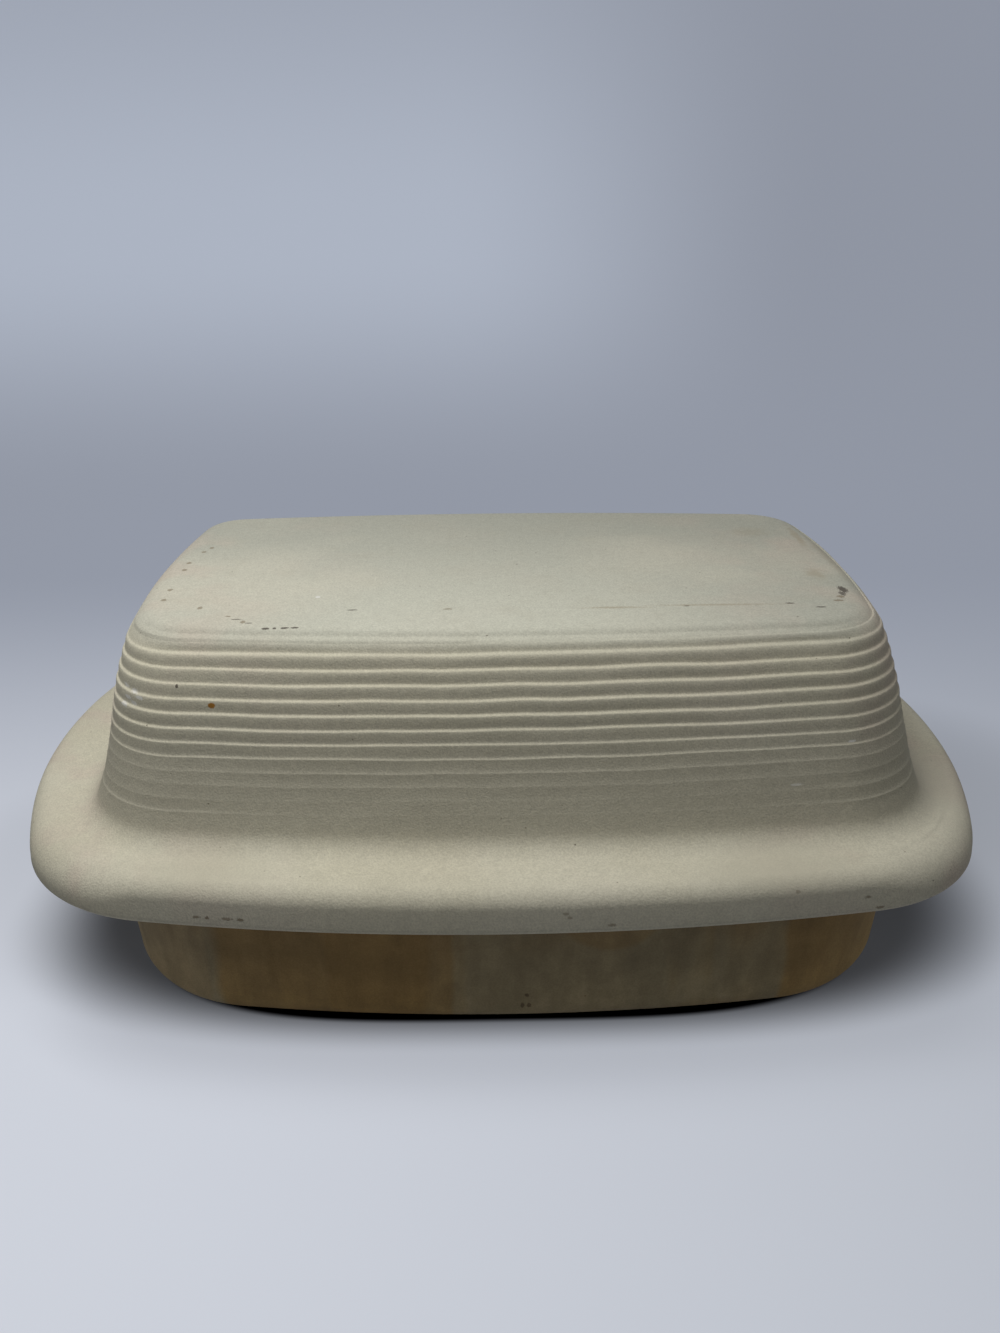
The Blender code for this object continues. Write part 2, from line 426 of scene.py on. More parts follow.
@dataclass(frozen=True)
class CreamStoneware:
    """Unglazed cream clay with a sandy grain and warm blushes from the kiln, and painted shade on the flat
    top and the lower wall.

    A field in metres is the span over which a colour changes. A share says how far a colour is mixed
    in at the two ends of its span, and a contrast holds a noise's weakest and strongest factor.
    """

    clay: Colour = (0.586, 0.553, 0.436)
    # the flat top's colours: lighter near the front edge, darker towards the back and the ends, as painted
    # light and painted shade
    face: Colour = (0.462, 0.462, 0.394)
    lit_near_face: Colour = (0.592, 0.588, 0.496)
    pale: Colour = (0.64, 0.612, 0.505)
    blush: Colour = (0.585, 0.508, 0.425)
    shade: Colour = (0.47, 0.445, 0.355)
    pinhole: Colour = (0.21, 0.185, 0.14)
    roughness: float = 0.93
    gloss: float = 0.3
    face_height: Pair = (0.14, 0.148)
    face_shade_depth: Pair = (-0.08, 0.07)
    face_shade_ends: Pair = (0.03, 0.13)
    face_shade_share: Pair = (0.0, 0.8)
    pale_share: Pair = (0.0, 0.6)
    blush_ends: Pair = (0.05, 0.16)
    blush_share: Pair = (0.06, 0.75)
    mottle_share: Pair = (0.0, 0.16)
    # painted shade: heights over which the lower wall darkens, and how strongly at each end
    wall_foot: Pair = (0.079, 0.088)
    wall_middle: Pair = (0.095, 0.132)
    wall_shade_share: Pair = (0.92, 0.0)
    sand_contrast: Pair = (0.9, 1.09)
    dimple_contrast: Pair = (0.97, 1.025)
    holes: Triple = (240.0, 0.1, 0.9)
    hole_share: float = 0.7
    dimples: float = 0.5
    relief: float = 0.00016
    marks: tuple[Mark, ...] = ()

    def material(self) -> bpy.types.Material:
        """Return the finish as a node material."""
        look = Shader("cream_stoneware", self.roughness, self.gloss)
        place = look.split()
        off_middle = look.value("ABSOLUTE", place["X"])
        patch = look.noise(Grain.PATCH, 3.0, offset=0.31)
        mottle = look.noise(Grain.MOTTLE, 4.0, offset=0.12)
        sand = look.noise(Grain.SAND, 3.0)
        # painted shade: the flat top darkens from its front edge towards the back and towards both ends
        face = look.mixed(look.ramp(place["Y"], *self.face_shade_depth), self.lit_near_face, self.face)
        face = look.mixed(look.ramp(off_middle, *self.face_shade_ends, self.face_shade_share), face, self.face)
        colour = look.mixed(look.ramp(place["Z"], *self.face_height), self.clay, face)
        cloud = look.ramp(look.noise(Grain.CLOUD, 3.0), 0.4, 0.65, self.pale_share)
        colour = look.mixed(cloud, colour, self.pale)
        warm = look.times(look.ramp(patch, 0.44, 0.66),
                            look.ramp(off_middle, *self.blush_ends, self.blush_share))
        colour = look.mixed(warm, colour, self.blush)
        colour = look.mixed(look.ramp(mottle, 0.5, 0.28, self.mottle_share), colour, self.shade)
        # painted shade: the lower wall, just above the cove, darkens, fading out further up the wall
        low_wall_shade = look.times(look.ramp(place["Z"], *self.wall_foot),
                                look.ramp(place["Z"], *self.wall_middle, self.wall_shade_share))
        colour = look.mixed(low_wall_shade, colour, self.shade)
        colour = look.shaded(colour, sand, self.sand_contrast)
        colour = look.shaded(colour, look.noise(Grain.DIMPLE, offset=0.2), self.dimple_contrast)
        holes = look.pinholes(*self.holes)
        colour = look.mixed(look.times(holes, self.hole_share), colour, self.pinhole)
        return look.fired(look.marked(colour, self.marks), sand, holes, self.dimples, self.relief)


@dataclass(frozen=True)
class ToastedStoneware:
    """Tan clay that years of oven heat have toasted in broad upright patches, with painted shade up under the
    cover's lip.

    Spans, shares and contrasts are as in CreamStoneware.
    """

    clay: Colour = (0.392, 0.303, 0.165)
    bare: Colour = (0.392, 0.318, 0.188)
    toast: Colour = (0.362, 0.227, 0.082)
    # dark crust of the pinholes, also used for the painted shade under the cover's lip
    crust_and_shade: Colour = (0.27, 0.17, 0.07)
    roughness: float = 0.8
    gloss: float = 0.35
    toast_share: Pair = (0.0, 0.55)
    # painted shade: heights of the dark, mottled band up under the cover's lip, and how strongly it is mixed
    # in
    rim_shade_span: Pair = (0.03, 0.062)
    rim_shade_share: float = 0.75
    # painted light and shade: heights over which the dish goes from lighter near its foot to darker up under
    # the lip, and the factors at the two ends
    painted_grade_span: Pair = (0.008, 0.036)
    painted_grade_factors: Pair = (1.24, 0.8)
    streak_contrast: Pair = (0.9, 1.08)
    mottle_contrast: Pair = (0.86, 1.12)
    sand_contrast: Pair = (0.91, 1.08)
    holes: Triple = (200.0, 0.09, 0.93)
    hole_share: float = 0.6
    dimples: float = 0.6
    relief: float = 0.00012
    marks: tuple[Mark, ...] = ()

    def material(self) -> bpy.types.Material:
        """Return the finish as a node material."""
        look = Shader("toasted_stoneware", self.roughness, self.gloss)
        place = look.split()
        upright = look.noise(Grain.PATCH, 3.0, (1.0, 1.0, 0.2), 0.4)
        broad = look.noise(Grain.CLOUD, 3.0, (1.6, 1.6, 0.5))
        mottle = look.noise(Grain.MOTTLE, 5.0, offset=0.7)
        sand = look.noise(Grain.SAND, 3.0)
        colour = look.mixed(look.ramp(upright, 0.47, 0.53), self.clay, self.bare)
        colour = look.mixed(look.ramp(broad, 0.5, 0.62, self.toast_share), colour, self.toast)
        colour = look.marked(colour, self.marks)
        # painted shade: a dark mottled band up under the cover's lip
        painted_rim_shade = look.times(look.ramp(place["Z"], *self.rim_shade_span), look.ramp(mottle, 0.3, 0.65))
        colour = look.mixed(look.times(painted_rim_shade, self.rim_shade_share), colour, self.crust_and_shade)
        streaks = look.noise(Grain.DIMPLE, 4.0, (0.45, 0.45, 0.1), 0.9)
        colour = look.shaded(colour, streaks, self.streak_contrast)
        colour = look.shaded(colour, look.noise(Grain.MOTTLE, 6.0, offset=0.5), self.mottle_contrast)
        colour = look.shaded(colour, sand, self.sand_contrast)
        # painted light near the dish's foot, where the floor lights it, fading to painted shade up under the
        # cover's lip
        painted_light_and_shade = look.ramp(place["Z"], *self.painted_grade_span, self.painted_grade_factors)
        colour = look.mixed(1.0, colour, painted_light_and_shade, "MULTIPLY")
        holes = look.pinholes(*self.holes)
        colour = look.mixed(look.times(holes, self.hole_share), colour, self.crust_and_shade)
        return look.fired(colour, sand, holes, self.dimples, self.relief)


# Pieces


@dataclass(frozen=True)
class DeepCover:
    """Deep ringed cover with its wide flange and its down-turned lip."""

    flange: Outline = Outline(0.1849, 0.1327, 0.0096, 0.0102, (0.0633, 0.0633, 0.0634, 0.058))
    root: Outline = Outline(0.1593, 0.1083, 0.0065, 0.005, (0.0415,) * 4, (0.0035, 0.0))
    top: Outline = Outline(0.1366, 0.0821, 0.0058, 0.0029, (0.0229, 0.0182, 0.0261, 0.0261), (0.0022, 0.0005))
    belly: float = 0.001
    side_belly: float = 0.0026
    seat: float = 0.0683
    flange_top: float = 0.0773
    flat_top: float = 0.1485
    crown: float = 0.0004
    edge_radius: float = 0.0064
    corner_edge_radius: float = 0.0115
    lip_flare: float = 0.0007
    lip_drop: float = 0.0155
    lip_thickness: float = 0.009
    lip_radius: float = 0.0028
    inner_lip_radius: float = 0.002
    pocket_radius: float = 0.001
    wall: float = 0.009
    roof: float = 0.009
    shoulder_radius: float = 0.0085
    inner_shoulder_radius: float = 0.013
    cove_radius: float = 0.01
    cove_lean: float = 16.0
    mouth_radius: float = 0.003
    ring_count: int = 13
    ring_pitch: float = 0.00466
    first_ring: float = 0.0019
    brow_drop: float = 0.0035
    brow_reach: float = 0.0002
    ring_tilt: float = 0.0068
    wander: float = 0.00055
    jitter: float = 0.0003
    skin_wave: float = 0.0001
    cove_fade: float = 0.009
    top_fade: float = 0.004
    tilt_fade: float = 0.03
    brow_wear: float = 0.25
    uneven_wear: float = 0.35
    worn_middle: float = 0.012

    WORN_ALONG = (0.48, 0.82)
    BROW_ENDS = (0.8, 0.97)
    FULLER_CORNER = (0.25, 0.95)
    FACE_SHARES = (0.18, 0.36, 0.54, 0.72, 0.88)
    CROWN_POWER = 2.2
    BROW = ((0.0, 0.0), (0.22, 0.02), (0.38, 0.08), (0.47, 0.15), (0.54, 0.245), (0.595, 0.35), (0.64, 0.46),
            (0.68, 0.56), (0.715, 0.615), (0.765, 0.665), (0.84, 0.725), (0.905, 0.8), (0.96, 0.89))
    FIRST_STEP = ((0.0, 0.0), (0.04, 0.05), (0.1, 0.105), (0.18, 0.165), (0.28, 0.23), (0.42, 0.305),
                  (0.6, 0.38), (0.78, 0.455), (0.88, 0.52), (0.94, 0.62), (0.972, 0.79))
    LEANING_STEP = ((0.0, 0.0), (0.025, 0.09), (0.07, 0.16), (0.14, 0.235), (0.24, 0.315), (0.36, 0.385),
                    (0.52, 0.465), (0.7, 0.535), (0.86, 0.595), (0.93, 0.655), (0.968, 0.79))
    SHARP_STEP = ((0.0, 0.0), (0.025, 0.09), (0.07, 0.16), (0.14, 0.22), (0.24, 0.28), (0.4, 0.35),
                  (0.6, 0.4), (0.8, 0.44), (0.88, 0.485), (0.93, 0.57), (0.965, 0.76))
    SCOOPED_STEP = ((0.0, 0.0), (0.02, 0.03), (0.08, 0.05), (0.18, 0.085), (0.3, 0.14), (0.43, 0.22),
                    (0.56, 0.33), (0.69, 0.47), (0.8, 0.62), (0.89, 0.77), (0.96, 0.91))
    LEANING = {1: 1.0, 2: 0.75, 3: 0.4}
    SCOOPED = {6: 0.15, 7: 0.4, 8: 0.85, 9: 1.0, 10: 1.0, 11: 0.6, 12: 0.6}
    UNWORN = (1.0, 1.0, 0.85)
    WORN = {7: (0.85, 0.8, 0.7), 8: (0.6, 0.45, 0.3), 9: (0.38, 0.35, 0.25), 10: (0.16, 0.5, 0.25),
            11: (0.08, 0.6, 0.35), 12: (0.05, 0.6, 0.3)}

    def skin(self, height: float) -> Outline:
        """Return the plain wall's outline at a height, its rounded shoulder included."""
        share = (height - self.flange_top) / (self.flat_top - self.flange_top)
        rise = min(max(0.0, self.shoulder_radius - (self.flat_top - height)), self.shoulder_radius)
        inset = self.shoulder_radius - sqrt(self.shoulder_radius ** 2 - rise ** 2)
        bulge = self.belly * sin(2 * pi * (share - 0.5))
        outline = self.root.blended(self.top, share).grown(bulge - inset)
        side_bulge = self.side_belly * sin(pi * min(max(share, 0.0), 1.0))
        return replace(outline, half_width=outline.half_width + side_bulge)

    def worn(self, ring: int, place: Vector) -> float:
        """Return how much of a ring's step is left at a place: the lowest are rubbed away in the middle."""
        along = eased(*self.WORN_ALONG, abs(place.x - self.worn_middle) / self.root.half_length)
        middle, right, left = self.WORN.get(ring, self.UNWORN)
        kept = between(middle, right if place.x > 0 else left, along)
        if ring == 0:
            kept = between(self.brow_wear, 1.0, self.along_side(place))
        return kept * (1.0 + self.uneven_wear * ripple(place.x * 18, place.y * 18, ring * 1.7, 11.0))

    def along_side(self, place: Vector) -> float:
        """Return 1 along the long sides of the shoulder, falling to 0 round its ends."""
        return 1.0 - eased(*self.BROW_ENDS, abs(place.x) / self.top.half_length)

    def stepped(self, ring: int, drop: float, reach: float) -> Ring:
        """Return one ring of places on the stepped wall.

        Args:
            ring: number of the throwing ring, 0 at the shoulder.
            drop: share of the ring's height that lies above these places.
            reach: share of the ring's growth outwards that they have reached.

        Returns:
            The places, which wander up and down and are worn towards the plain wall.
        """
        crest = self.flat_top - self.first_ring - ring * self.ring_pitch
        pitch = self.ring_pitch
        if ring == 0:
            pitch -= self.brow_drop - self.first_ring
            crest = self.flat_top - self.brow_drop
        if ring == self.ring_count - 1:
            pitch = crest - self.cove_top() - 0.0001
            reach = between(reach, drop, eased(0.1, 0.6, drop))
        height = crest - drop * pitch
        full = self.skin(crest - reach * pitch).places()
        made = []
        for (plain, way), (cut, _) in zip(self.skin(height).places(), full):
            place = plain.lerp(cut, self.worn(ring, plain))
            if ring == 0:
                place += (1 - drop) * self.brow_reach * self.along_side(plain) * way
            fade = min(1.0, max(0.0, (height - self.cove_top()) / self.cove_fade))
            wave = self.skin_wave * (1 + ripple(plain.x * 30, plain.y * 30, height * 60, 3.0))
            place -= fade * wave * way
            turn = atan2(plain.y, plain.x)
            lift = self.wander * ripple(3.4 * cos(turn), 3.4 * sin(turn), (ring + drop) * 0.22, 7.0)
            lift += self.jitter * ripple(6.0 * cos(turn), 6.0 * sin(turn), (ring + drop) * 0.8, 2.0)
            lift += self.ring_tilt * plain.x * min(1.0, (height - self.flange_top) / self.tilt_fade)
            lift *= min(fade, (self.flat_top - height) / self.top_fade)
            made.append(place + Vector((0.0, 0.0, height + lift)))
        return made

    def outside(self) -> list[Ring]:
        """Return the rings from the middle of the flat top down to the foot of the lip."""
        edge = self.skin(self.flat_top)
        rings = disc(edge, self.flat_top, True)
        rings += [self.brow(share, deep) for share, deep in self.BROW]
        for ring in range(self.ring_count):
            rings += [self.stepped(ring, drop, reach) for drop, reach in self.step(ring)]
        foot = self.skin(self.cove_top()).grown(-self.cove_radius * (1 - cos(radians(self.cove_lean))))
        rings += rounded(foot, self.cove_radius, self.cove_centre(), 180 + self.cove_lean, 270, 10)
        rings += self.flange_face(foot.grown(self.cove_radius))
        rings += [self.edge(radians(turn)) for turn in range(90, -1, -6)]
        low = self.flange_top - self.lip_drop
        rings += rounded(self.flange, -self.lip_radius, low + self.lip_radius, 0, -90, 7)
        return rings

    def step(self, ring: int) -> list[Pair]:
        """Return a ring's pairs of drop and reach: leaning high on the wall, then sharp, scooped low down."""
        if ring == 0:
            return list(self.FIRST_STEP)
        other, share = self.SCOOPED_STEP, self.SCOOPED.get(ring, 0.0)
        if ring in self.LEANING:
            other, share = self.LEANING_STEP, self.LEANING[ring]
        return [(between(sharp[0], bent[0], share), between(sharp[1], bent[1], share))
                for sharp, bent in zip(self.SHARP_STEP, other)]

    def brow(self, share: float, deep: float) -> Ring:
        """Return one ring of the shoulder: stepped along the long sides, evenly rounded at the ends.

        Args:
            share: share of the way out from the flat top's edge to the first ring.
            deep: share of the drop that the step has made by there.

        Returns:
            The places, counter-clockwise.
        """
        edge, crest = self.skin(self.flat_top), self.skin(self.flat_top - self.brow_drop)
        reach = share * sqrt(self.shoulder_radius ** 2 - (self.shoulder_radius - self.brow_drop) ** 2)
        round_drop = self.shoulder_radius - sqrt(self.shoulder_radius ** 2 - reach ** 2)
        made = []
        for place, way in edge.blended(crest, share).places():
            side = self.along_side(place)
            drop = between(round_drop, deep * self.brow_drop, side)
            place = place + share * self.brow_reach * side * way
            made.append(Vector((place.x, place.y, self.flat_top - drop)))
        return made

    def cove_centre(self) -> float:
        """Return the height of the centre of the cove's arc."""
        return self.flange_top + self.crown + self.cove_radius

    def cove_top(self) -> float:
        """Return the height where the leaning wall runs over into the cove."""
        return self.cove_centre() - self.cove_radius * sin(radians(self.cove_lean))

    def edge(self, turn: float) -> Ring:
        """Return one ring of the flange's rounded edge, which is fuller at the corners, at this angle."""
        made = []
        for place, way in self.flange.places():
            fuller = eased(*self.FULLER_CORNER, 2 * abs(way.x * way.y))
            radius = between(self.edge_radius, self.corner_edge_radius, fuller)
            flare = self.lip_flare * (1 - fuller)
            made.append(place - (flare + radius * (1 - cos(turn))) * way
                        + Vector((0.0, 0.0, self.flange_top - radius * (1 - sin(turn)))))
        return made

    def flange_face(self, foot: Outline) -> list[Ring]:
        """Return the rings across the flange's slightly crowned face, between its two edges."""
        rings = []
        for share in self.FACE_SHARES:
            height = self.flange_top + self.crown * (1 - share ** self.CROWN_POWER)
            rings.append([between(Vector((start.x, start.y, height)), Vector((end.x, end.y, height)), share)
                          for (start, _), end in zip(foot.places(), self.edge(pi / 2))])
        return rings

    def inside(self) -> list[Ring]:
        """Return the rings from the foot of the lip up to the middle of the roof inside."""
        pocket = self.flange.grown(-self.lip_thickness)
        low = self.flange_top - self.lip_drop
        inner, corner = self.inner_lip_radius, self.pocket_radius
        rings = rounded(pocket, inner, low + inner, -90, -180, 5)
        rings.append(level(pocket, between(low + inner, self.seat - corner, 0.4)))
        rings += rounded(pocket, -corner, self.seat - corner, 0, 90, 3)
        mouth = self.seat + self.mouth_radius
        bore = self.skin(mouth).grown(-self.wall)
        seat_edge = bore.grown(self.mouth_radius)
        rings += [level(pocket.grown(-corner).blended(seat_edge, share), self.seat) for share in (0.3, 0.7)]
        rings += rounded(bore, self.mouth_radius, mouth, 270, 180, 6)
        roof = self.flat_top - self.roof
        shoulder = roof - self.inner_shoulder_radius
        for step in range(1, 12):
            height = between(mouth, shoulder, step / 12)
            rings.append(level(self.skin(height).grown(-self.wall), height))
        bore = self.skin(shoulder).grown(-self.wall)
        rings += rounded(bore, -self.inner_shoulder_radius, shoulder, 0, 90, 10)
        return rings + disc(bore.grown(-self.inner_shoulder_radius), roof, False)

    def build(self) -> bpy.types.Object:
        """Build the cover and hang it on its body."""
        piece = Body("cover_shell").drawn(self.outside() + self.inside())
        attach(piece, "cover")
        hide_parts("deep_cover")
        return piece

    def dress(self, piece: bpy.types.Object) -> None:
        """Give the cover its fired cream finish with the marks of use, painted shade and painted light."""
        piece.data.materials.append(CreamStoneware(marks=self.marks()).material())

    def flat_mark(self, x: float, y: float, along: float, across: float, *look: object) -> Mark:
        """Return a mark on the flat top from its place, its half sizes and its look."""
        return Mark((x, y, 1000 * self.flat_top), (along, across, 3), *look)

    def marks(self) -> tuple[Mark, ...]:
        """Return the flecks, pits and scuffs that years of use left on the cover, and broad marks of painted
        shade and painted light on the flange.
        """
        dark, grime, rust = (0.1, 0.085, 0.07), (0.26, 0.215, 0.15), (0.36, 0.17, 0.03)
        chalk, stain = (0.74, 0.73, 0.69), (0.39, 0.335, 0.24)
        flange_painted_shade, flange_painted_light = (0.505, 0.475, 0.375), (0.69, 0.66, 0.54)
        top, low, flat = 1000 * self.flat_top, 66.5, self.flat_mark
        found = [
            # painted shade on the flange's two front corners and painted light on its right end
            Mark((-101, -114, 77.5), (40, 24, 8), flange_painted_shade, 0.55, 0.3, 0.9, Grain.PATCH),
            Mark((92, -117, 77.5), (40, 24, 8), flange_painted_shade, 0.6, 0.3, 0.9, Grain.PATCH),
            Mark((162, -62, 77.5), (24, 48, 8), flange_painted_light, 0.6, 0.3, 0.9, Grain.PATCH),
            Mark((-97.9, -88, 125.7), (1.5, 6, 1.1), rust, 1.0, 0.5),
            Mark((-109.9, -85, 131.5), (0.6, 6, 0.8), dark, 0.9, 0.5)]
        found += [flat(*row) for row in (
            (128.4, -39.5, 1.9, 4.6, dark, 0.9, 1.6, 0.4), (126.8, -44.5, 1.4, 3, dark, 0.8, 1.6, 0.4),
            (125.2, -47.8, 1.6, 1.6, grime, 0.8, 1.4), (123.3, -52, 2.2, 1.2, grime, 0.8, 1.0),
            (105, -54.5, 2, 0.8, dark, 0.8, 0.8), (114.9, -59, 2.2, 0.8, dark, 0.8, 0.8),
            (67.5, -56.2, 1.2, 0.8, dark, 0.7, 0.8), (-52.3, -56.7, 2.2, 0.8, dark, 0.7, 0.9),
            (-18.1, -56.7, 2, 1, grime, 0.6, 1.2), (78, -55.3, 30, 1.3, stain, 0.6, 1.9, 0.8),
            (42, -57.1, 17, 1.4, stain, 0.65, 1.9, 0.8), (-95.5, -61.8, 1.4, 0.7, grime, 0.9, 1.0, 0.4),
            (-92, -65.2, 2.2, 0.6, dark, 0.8, 1.2, 0.4), (-86.8, -69.2, 1.6, 0.6, dark, 0.7, 1.2, 0.4),
            (-66.4, -41.7, 1.1, 1.6, chalk, 0.8, 0.8))]
        found += [
            Mark((120.7, -91.5, 110.8), (1.8, 6, 0.5), chalk, 0.9, 1.0),
            Mark((101.2, -97.5, 97.5), (2.8, 6, 0.5), chalk, 0.6, 1.2)]
        found += [flat(*row) for row in (
            (111, 40, 12, 11, stain, 0.3, 1.2, 0.9, Grain.DIMPLE),
            (123.5, -20, 6, 10, stain, 0.45, 1.3, 0.9, Grain.DIMPLE))]
        found += [
            Mark((129.5, 33, top), (2.6, 24, 4), stain, 0.55, 1.3, 0.8, Grain.DIMPLE),
            # brownish stain along the right shoulder's edge, laid on strongly enough to serve also as painted
            # shade over the side fill's highlight there
            Mark((134.5, 5, 146.5), (4.5, 55, 3.5), stain, 0.4, 0.6, 0.9, Grain.DIMPLE)]
        found += [Mark((x, -73.7, top), (reach, 0.7, 4), dark, 0.9, 0.9, 0.4)
                  for x, reach in ((-80.3, 1.6), (-77.2, 0.8), (-73.7, 1.8), (-70.2, 1.7))]
        found += [Mark((x, y, z), (1.8, 7, 0.9), chalk, 0.85, 1.5, 0.5)
                  for x, y, z in ((-130, -75, 128.2), (-126.2, -79, 127.6), (-124, -81, 126.2),
                                  (-126.5, -80.5, 123.8), (-129, -78, 125), (-130.6, -76, 122.2))]
        found += [flat(x, y, 1.2, 1.6, grime, 0.75, 1.3)
                  for x, y in ((-107.3, -52.6), (-122.6, -43.2), (-123.2, -31.6), (-123.7, -6.5),
                               (-124, 2.9), (-121.5, 18.4), (-119.4, 24.2), (-89, -68))]
        found += [Mark((x, y, z), (reach, 6, 0.7), grime, strength, 1.4, 0.5)
                  for x, y, z, reach, strength in
                  ((-101, -125.4, low, 1.8, 0.85), (-97.2, -125.8, low, 1, 0.95),
                   (-90.5, -126.8, low, 2.6, 0.8), (-86, -127.3, low, 1.4, 0.9),
                   (20.1, -131.8, 70, 1.4, 0.6), (21.4, -132, 68.6, 1.2, 0.6),
                   (35.1, -131.7, 65.5, 1.6, 0.7), (96.7, -125.5, 73, 1.2, 0.6),
                   (121.1, -122.7, 68.8, 1.4, 0.8), (125.7, -122.3, 64.5, 2, 0.8))]
        return tuple(found)


@dataclass(frozen=True)
class BaseDish:
    """Shallow smooth dish whose rim lies hidden in the cover's lip."""

    rim: Outline = Outline(0.1739, 0.1217, 0.0096, 0.0102, (0.0523, 0.0523, 0.0524, 0.047))
    wall_top: Outline = Outline(0.1582, 0.1089, 0.0065, 0.005, (0.061,) * 4, (0.0027, -0.0016))
    height: float = 0.068
    lean: float = 0.1
    wall: float = 0.009
    floor: float = 0.009
    rim_thickness: float = 0.0075
    rim_radius: float = 0.0025
    rim_cove: float = 0.006
    heel_radius: float = 0.0132
    inner_heel_radius: float = 0.016
    foot_height: float = 0.0025
    foot_inset: float = 0.006
    mouth_radius: float = 0.003

    FOOT_EDGE = ((0.0, 0.0), (0.0008, 0.0003), (0.002, 0.0016), (0.0032, 0.0023))

    def side(self, height: float) -> Outline:
        """Return the outline of the dish's wall at a height."""
        return self.wall_top.grown(-self.lean * (self.height - height))

    def uneven(self, ring: Ring) -> Ring:
        """Return a ring with the faint waviness of pressed clay."""
        return [place + 0.00015 * ripple(place.x * 22, place.y * 22, place.z * 22, 5.0)
                * Vector((place.x, place.y, 0.0)).normalized() for place in ring]

    def outside(self) -> list[Ring]:
        """Return the rings from the middle of the foot up to the rim's inner edge."""
        heel = self.foot_height + self.heel_radius
        base = self.side(heel).grown(-self.heel_radius)
        foot = base.grown(-self.foot_inset)
        rings = disc(foot, 0.0, True) + [level(foot.grown(out), rise) for out, rise in self.FOOT_EDGE]
        rings.append(level(base, self.foot_height))
        rings += rounded(self.side(heel), -self.heel_radius, heel, -86, 0, 12)
        cove = self.height - self.rim_thickness - self.rim_cove
        heights = [between(heel, cove, step / 14) for step in range(1, 14)]
        rings += [self.uneven(level(self.side(height), height)) for height in heights]
        rings += rounded(self.side(cove), self.rim_cove, cove, 180, 90, 6)
        low = self.height - self.rim_thickness + self.rim_radius
        rings += rounded(self.rim, -self.rim_radius, low, -90, 0, 5)
        rings += rounded(self.rim, -self.rim_radius, self.height - self.rim_radius, 0, 90, 5)
        return rings

    def inside(self) -> list[Ring]:
        """Return the rings from the top of the rim down to the middle of the floor."""
        lip = self.height - self.mouth_radius
        bore = self.side(lip).grown(-self.wall)
        rings = [level(self.rim.grown(-self.rim_radius).blended(bore.grown(self.mouth_radius), share),
                       self.height) for share in (0.35, 0.75)]
        rings += rounded(bore, self.mouth_radius, lip, 90, 180, 6)
        floor = self.foot_height + self.floor
        heel = floor + self.inner_heel_radius
        for step in range(1, 8):
            height = between(lip, heel, step / 8)
            rings.append(self.uneven(level(self.side(height).grown(-self.wall), height)))
        bore = self.side(heel).grown(-self.wall)
        rings += rounded(bore, -self.inner_heel_radius, heel, 0, -90, 10)
        return rings + disc(bore.grown(-self.inner_heel_radius), floor, False)

    def build(self) -> bpy.types.Object:
        """Build the dish and set it on its body."""
        piece = Body("dish_shell").drawn(self.outside() + self.inside())
        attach(piece, "dish")
        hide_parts("base_dish")
        return piece

    def dress(self, piece: bpy.types.Object) -> None:
        """Give the dish its toasted tan finish, with painted shade under the cover's lip and painted light
        near its foot.
        """
        piece.data.materials.append(ToastedStoneware(marks=self.marks()).material())

    def marks(self) -> tuple[Mark, ...]:
        """Return the toasted patches and flecks on the side that the photograph shows."""
        toast, bare, pale = ToastedStoneware.toast, ToastedStoneware.bare, (0.455, 0.345, 0.195)
        dark = (0.12, 0.08, 0.04)
        patches = [Mark((x, y, z), (reach, 80, tall), colour, strength, 0.35, 0.12, Grain.PATCH)
                   for x, y, z, reach, tall, colour, strength in (
                       (-129, -90, 40, 23, 200, pale, 0.8), (-65, -105, 40, 41, 200, toast, 0.8),
                       (-40, -105, 40, 24, 200, toast, 0.65), (19.5, -105, 40, 35.5, 200, bare, 0.85),
                       (38, -105, 62, 23, 25, toast, 0.45), (126, -85, 40, 25, 200, toast, 0.75))]
        flecks = [Mark((x, -105.4, z), (0.9, 4, tall), dark, 0.75, 0.9)
                  for x, z, tall in ((8.6, 17.7, 1), (7, 12.8, 1.6), (9.4, 12.8, 1.4))]
        return tuple(patches + flecks)


# Table, light and camera


def seen(tree: bpy.types.NodeTree) -> Socket:
    """Return 1 for the rays by which the eye meets a surface and 0 for those that only carry light."""
    path = tree.nodes.new("ShaderNodeLightPath")
    found = path.outputs["Is Camera Ray"]
    for name in ("Is Glossy Ray", "Is Transmission Ray"):
        either = tree.nodes.new("ShaderNodeMath")
        either.operation = "MAXIMUM"
        tree.links.new(found, either.inputs[0])
        tree.links.new(path.outputs[name], either.inputs[1])
        found = either.outputs[0]
    return found


@dataclass(frozen=True)
class Lamp:
    """Soft rectangular lamp, whose power is in watts."""

    name: str
    place: Triple
    target: Triple
    size: Pair
    power: float
    colour: Colour

    def hang(self) -> None:
        """Hang the lamp so that it faces its target."""
        data = bpy.data.lights.new(self.name, "AREA")
        data.shape = "RECTANGLE"
        data.size, data.size_y = self.size
        data.energy = self.power
        data.color = self.colour
        lamp = shown(self.name, data)
        lamp.location = self.place
        lamp.rotation_euler = (Vector(self.target) - Vector(self.place)).to_track_quat("-Z", "Y").to_euler()


